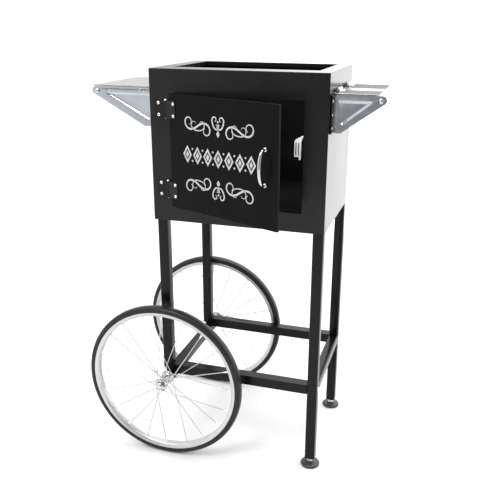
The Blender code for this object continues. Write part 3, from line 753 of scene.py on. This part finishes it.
def make_strike(low, high):
    """The steel plate on the back of the door, which the catch holds."""
    back = DOOR_FRONT + DOOR_THICKNESS
    corners = (low.x + 0.0005, low.z + 0.0080), (high.x - 0.0030, high.z - 0.0080)
    rings = [rectangle(*corners, "XZ", y, 0.0015, 3) for y in (back + 0.0002, back + 0.0010)]
    mesh_data = stack(bmesh.new(), rings)
    move_door(mesh_data)
    piece(mesh_data, "strike_steel", ZINC, "door", nodes=["strike_plate"])


# ---------------------------------------------------------------- shelves and brackets


CORNER_STEPS = 6


def round_corners(corners, radii):
    """A polygon whose corners are drawn as arcs, each of CORNER_STEPS + 1 points."""
    points = []
    for i, (corner, radius) in enumerate(zip(corners, radii)):
        here = Vector(corner)
        before = (Vector(corners[i - 1]) - here).normalized()
        after = (Vector(corners[(i + 1) % len(corners)]) - here).normalized()
        half = before.angle(after) / 2
        centre = here + (before + after).normalized() * (radius / math.sin(half))
        start = here + before * (radius / math.tan(half)) - centre
        end = here + after * (radius / math.tan(half)) - centre
        swing = math.atan2(start.x * end.y - start.y * end.x, start.dot(end))
        for k in range(CORNER_STEPS + 1):
            turn = swing * k / CORNER_STEPS
            spot = Matrix.Rotation(turn, 2) @ start
            points.append(tuple(centre + spot))
    return points


def inset(corners, amounts):
    """The corners of a convex polygon whose edges have each moved in by their own amount."""
    middle = sum((Vector(c) for c in corners), Vector((0.0, 0.0))) / len(corners)
    lines = []
    for i, corner in enumerate(corners):
        a, b = Vector(corner), Vector(corners[(i + 1) % len(corners)])
        normal = Vector((-(b - a).y, (b - a).x)).normalized()
        if normal.dot(middle - a) < 0:
            normal = -normal
        lines.append((a + normal * amounts[i], (b - a).normalized()))
    found = []
    for i in range(len(corners)):
        (p, d), (q, e) = lines[i - 1], lines[i]
        along = ((q - p).x * e.y - (q - p).y * e.x) / (d.x * e.y - d.y * e.x)
        found.append(tuple(p + d * along))
    return found


def pressed_sheet(mesh_data, to_world, border, pressings, thickness):
    """A flat sheet with dished shapes. Each pressing is (corners, radii, widths, depth).

    widths are how far each of a dish's edges slopes in before it reaches the flat bottom.
    """
    steps = 8
    sheets = []
    for level in (0.0, -thickness):
        loops = [border]
        rings_of = []
        for corners, radii, widths, depth in pressings:
            rings = []
            for k in range(steps + 1):
                share = k / steps
                down = depth * share * share * (3 - 2 * share)
                inner = inset(corners, [width * share for width in widths])
                shrink = min(widths) * share * 0.6
                shape = round_corners(inner, [max(0.0006, r - shrink) for r in radii])
                rings.append([mesh_data.verts.new(to_world(x, z, level - down)) for x, z in shape])
                if k == 0:
                    loops.append(shape)
            rings_of.append(rings)
            for first, second in zip(rings, rings[1:]):
                for i in range(len(first)):
                    j = (i + 1) % len(first)
                    mesh_data.faces.new((first[i], first[j], second[j], second[i]))
            mesh_data.faces.new(rings[-1])
        edge = [mesh_data.verts.new(to_world(x, z, level)) for x, z in border]
        every = list(edge)
        for rings in rings_of:
            every += rings[0]
        flat = [[Vector((x, z, 0.0)) for x, z in loop] for loop in loops]
        for triangle in tessellate_polygon(flat):
            mesh_data.faces.new([every[i] for i in triangle])
        sheets.append(edge)
    front, back = sheets
    for i in range(len(border)):
        j = (i + 1) % len(border)
        mesh_data.faces.new((front[i], front[j], back[j], back[i]))


MOUNT_TRIM = 0.0018  # how much thinner the mounting strips are than their solids
BRACKET_SHEET = 0.0014
LONG_BRACKET = 0.12  # only a bracket longer than this has slots


def make_bracket(name, side, node, foot, facing):
    """A pressed triangle with a dished middle and a rounded tip, and slots if it is long.

    facing is the Y direction, -1 or +1, that its outer face looks. foot is the length of its
    lower edge.
    """
    low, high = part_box(node)
    wall = (low.x if side > 0 else high.x) - side * MOUNT_TRIM
    top, tip, length = high.z, 0.0085, high.x - low.x + MOUNT_TRIM
    drop = top - low.z
    face = low.y if facing < 0 else high.y

    def to_world(x, z, out):
        return (wall + side * x, face + facing * out, z)

    arc, arc_steps = [], 12
    for i in range(arc_steps + 1):
        turn = math.radians(-45 + 135 * i / arc_steps)
        arc.append((length - tip + tip * math.cos(turn), top - tip + tip * math.sin(turn)))
    corners = [(0.0, top), (0.0, top - drop), (foot, top - drop), arc[0]]
    rounded = round_corners(corners, [0.001, 0.0040, 0.006, 0.001])
    # Only the two lower corners are rounded. The tip has its own arc.
    each = CORNER_STEPS + 1
    border = corners[:1] + rounded[each : 3 * each] + arc
    scale = drop / 0.0712  # against the height of the right front bracket
    dish = [(0.0068, top - 0.0100 * scale), (length - 0.0195 * scale, top - 0.0100 * scale),
            (0.0068, top - drop + 0.0062 * scale)]
    pressings = [(dish, [0.0032, 0.0024, 0.0065], (0.0058, 0.0066, 0.0022), 0.0025)]
    if length > LONG_BRACKET:
        for x0, x1 in ((0.0040, 0.0270), (0.0330, 0.1020)):
            slot = [(x0, top - 0.0018), (x1, top - 0.0018), (x1, top - 0.0082), (x0, top - 0.0082)]
            pressings.append((slot, [0.0031] * 4, [0.0016] * 4, 0.0014))
    mesh_data = bmesh.new()
    pressed_sheet(mesh_data, to_world, border, pressings, BRACKET_SHEET)
    piece(mesh_data, name, BRACKET_CHROME, "cart", nodes=[node], angle=40)
    inner = face - facing * BRACKET_SHEET
    ys = sorted((inner, inner - facing * 0.0140))
    xs = sorted((wall + side * 0.0010, wall + side * (length - 0.0200)))
    near, far = (xs[0], ys[0], top - BRACKET_SHEET), (xs[1], ys[1], top)
    slab(f"{name}_flange", near, far, BRACKET_CHROME, "cart")


def make_mount(node, side):
    """The black strip that holds a bracket to the cabinet, with its screws."""
    low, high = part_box(node)
    if side > 0:
        high.x -= MOUNT_TRIM
    else:
        low.x += MOUNT_TRIM
    slab(f"{node}_strip", low, high, HINGE_BLACK, "cart", nodes=[node], bevel=0.0010)
    face = high.x if side > 0 else low.x
    for i, share in enumerate((0.16, 0.50, 0.84)):
        for j, across in enumerate((0.14, 0.82)):
            centre = (face, low.y + (high.y - low.y) * across, low.z + (high.z - low.z) * share)
            screw(f"{node}_screw_{i}_{j}", centre, side, 0.0026, 0.0013)


BRACKET_FEET = {"left_front": 0.0237, "right_front": 0.0130}
REAR_BRACKET_FOOT = 0.0107


def make_side(name, side):
    """A shelf with its brackets. side is -1 on the left and +1 on the right."""
    for place, facing in (("front", -1), ("rear", 1)):
        node = f"{name}_{place}_bracket"
        foot = BRACKET_FEET.get(f"{name}_{place}", REAR_BRACKET_FOOT)
        make_bracket(f"{node}_pressing", side, node, foot, facing)
        make_mount(f"{node}_mount", side)
    node = f"{name}_shelf"
    low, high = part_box(node)
    slab(f"{node}_plate", low, high, SHELF_STEEL, "cart", nodes=[node], bevel=0.0007)
    make_tip_bolt(name)


def make_tip_bolt(name):
    node = f"{name}_tip_bolt"
    low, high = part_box(node)
    radius = (high.x - low.x) / 2
    centre = ((low.x + high.x) / 2, low.y, (low.z + high.z) / 2)
    profile = [(0.0, 0.0), (radius * 0.50, 0.0001), (radius * 0.85, 0.0010), (radius, 0.0022)]
    profile += [(radius, 0.0036), (0.0026, 0.0036), (0.0026, 0.0100), (0.0, 0.0100)]
    mesh_data = turned(bmesh.new(), profile, centre, "Y", 32)
    piece(mesh_data, f"{name}_tip_bolt_head", CHROME, "cart", nodes=[node], angle=40)


def make_shelf_shade_strips():
    """Two matt grey strips on the right shelf: painted shade, dark bands laid on the flat, bright plate."""
    low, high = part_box("right_shelf")
    for i, (start, end) in enumerate(((0.0010, 0.0600), (0.1110, 0.1970))):
        corners = [(low.x + 0.0165, low.y + start), (high.x - 0.0010, low.y + start)]
        corners += [(high.x - 0.0010, low.y + end), (low.x + 0.0125, low.y + end)]
        rings = [[(x, y, z) for x, y in corners] for z in (high.z - 0.0002, high.z + 0.0003)]
        mesh_data = stack(bmesh.new(), rings)
        piece(mesh_data, f"right_shelf_strip_{i}", SHELF_SHADE_GREY, "cart", bevel=0.0002)


def make_shelf_fittings(name):
    """Two short hinge barrels on a flat leaf, where a shelf meets the cabinet."""
    low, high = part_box(f"{name}_shelf")
    side = 1 if name == "right" else -1
    wall = low.x if side > 0 else high.x
    for i, (start, end) in enumerate(((0.0250, 0.0620), (0.1360, 0.1730))):
        y0, y1 = low.y + start, low.y + end
        xs = sorted((wall + side * 0.0040, wall + side * 0.0150))
        corners, leaf_top = ((xs[0], y0), (xs[1], y1)), high.z + 0.0010
        rings = [rectangle(*corners, "XY", z, 0.0015, 3) for z in (high.z - 0.0002, leaf_top)]
        mesh_data = stack(bmesh.new(), rings)
        barrel = [(0.0014, 0.0), (0.0030, 0.0), (0.0034, 0.0004), (0.0034, y1 - y0 - 0.0004)]
        barrel += [(0.0030, y1 - y0), (0.0014, y1 - y0)]
        turned(mesh_data, barrel, (wall + side * 0.0042, y0, high.z + 0.0034), "Y", 24, closed=True)
        piece(mesh_data, f"{name}_shelf_hinge_{i}", CHROME, "cart", angle=40)
        for j, share in enumerate((0.25, 0.75)):
            head = [(0.0, 0.0018), (0.0014, 0.0016), (0.0022, 0.0006), (0.0022, -0.0001)]
            head += [(0.0, -0.0001)]
            centre = (wall + side * 0.0115, y0 + (y1 - y0) * share, leaf_top)
            rivet = turned(bmesh.new(), head, centre, "Z", 20)
            piece(rivet, f"{name}_shelf_rivet_{i}_{j}", ZINC, "cart", angle=50)


# ---------------------------------------------------------------- what stays a CAD solid


def dress_cad_nodes():
    looks = {"hinge_black": HINGE_BLACK, "pin_steel": ZINC, "chrome": CHROME}
    for name, node in NODES.items():
        if not node.hide_render:
            look = looks.get(SLOT_OF[name], FRAME_PAINT)
            for slot in node.material_slots:
                slot.material = look


# ---------------------------------------------------------------- stage


def make_stage():
    """A matt floor just under the feet. It ends behind, so the side panel reflects the world."""
    mesh = bpy.data.meshes.new("studio_floor")
    size, behind, level = 3.2, 1.6, -0.0002
    corners = [(-size, -size), (size, -size), (size, behind), (-size, behind)]
    mesh.from_pydata([(x, y, level) for x, y in corners], [], [(0, 1, 2, 3)])
    floor = bpy.data.objects.new("studio_floor", mesh)
    mat, shader = new_material("studio_floor", (0.74, 0.74, 0.74), 0.9, specular=0.1)
    vary(mat, shader, "Base Color", place_noise(mat, 2.0), (0.73,) * 3, (0.75,) * 3)
    mesh.materials.append(mat)
    bpy.context.scene.collection.objects.link(floor)


def make_world():
    """A white studio: bright above and behind, and dimmer in front except on the left."""
    world = bpy.data.worlds.new("studio")
    bpy.context.scene.world = world
    world.use_nodes = True
    nodes, links = world.node_tree.nodes, world.node_tree.links
    background = nodes["Background"]
    where = nodes.new("ShaderNodeTexCoord")
    split = nodes.new("ShaderNodeSeparateXYZ")
    links.new(where.outputs["Generated"], split.inputs["Vector"])

    def ramp(socket, low, high, value0, value1):
        node = nodes.new("ShaderNodeMapRange")
        node.interpolation_type = "SMOOTHSTEP"
        node.inputs["From Min"].default_value = low
        node.inputs["From Max"].default_value = high
        node.inputs["To Min"].default_value = value0
        node.inputs["To Max"].default_value = value1
        links.new(socket, node.inputs["Value"])
        return node.outputs["Result"]

    def combine(operation, a, b):
        node = nodes.new("ShaderNodeMath")
        node.operation = operation
        for socket, value in zip(node.inputs, (a, b)):
            if isinstance(value, float):
                socket.default_value = value
            else:
                links.new(value, socket)
        return node.outputs["Value"]

    behind = ramp(split.outputs["Y"], -0.35, 0.15, 0.0, 1.0)
    above = ramp(split.outputs["Z"], 0.45, 0.85, 0.0, 0.85)
    left = ramp(split.outputs["X"], -0.22, -0.50, 0.0, 0.80)
    front = combine("MAXIMUM", combine("ADD", 0.45, left), above)
    far = ramp(split.outputs["X"], -0.42, -0.12, 1.04, 2.40)
    back = combine("MULTIPLY", behind, far)
    links.new(combine("MAXIMUM", front, back), background.inputs["Strength"])
    background.inputs["Color"].default_value = (1.0, 1.0, 1.0, 1.0)


def make_light(name, location, target, size, power):
    """A round area light, aimed at a target."""
    data = bpy.data.lights.new(name, "AREA")
    data.shape = "DISK"
    data.size = size
    data.energy = power
    light = bpy.data.objects.new(name, data)
    bpy.context.scene.collection.objects.link(light)
    light.location = location
    direction = Vector(target) - Vector(location)
    light.rotation_euler = direction.to_track_quat("-Z", "Y").to_euler()


def make_camera():
    data = bpy.data.cameras.new("camera")
    data.sensor_width = 36.0
    data.lens = 47.77
    data.clip_end = 50.0
    camera = bpy.data.objects.new("camera", data)
    bpy.context.scene.collection.objects.link(camera)
    yaw, pitch, roll = -0.2948, -0.3283, 0.0049
    level = math.cos(pitch)
    ahead = Vector((math.sin(yaw) * level, math.cos(yaw) * level, math.sin(pitch)))
    right = ahead.cross(Vector((0, 0, 1))).normalized()
    up = right.cross(ahead)
    turned_right = right * math.cos(roll) + up * math.sin(roll)
    turned_up = up * math.cos(roll) - right * math.sin(roll)
    basis = Matrix((turned_right, turned_up, -ahead)).transposed()
    place = Vector((LEFT + 0.5722, FRONT - 1.2044, 0.9335))
    camera.matrix_world = Matrix.Translation(place) @ basis.to_4x4()
    bpy.context.scene.camera = camera


def main():
    make_cabinet()
    make_frame()
    make_feet()
    make_wheel("front", -1)
    make_wheel("rear", 1)
    make_door()
    make_hinges()
    make_catch()
    make_side("left", -1)
    make_side("right", 1)
    make_shelf_shade_strips()
    make_shelf_fittings("left")
    make_shelf_fittings("right")
    dress_cad_nodes()
    make_stage()
    make_world()
    make_light("key", (-0.5, -1.5, 2.3), (0.0, 0.0, 0.6), 1.0, 34.0)
    make_light("top", (0.15, 0.25, 2.3), (0.03, 0.02, 0.6), 1.6, 30.0)
    make_camera()
    bpy.context.scene.view_settings.view_transform = "Standard"


main()
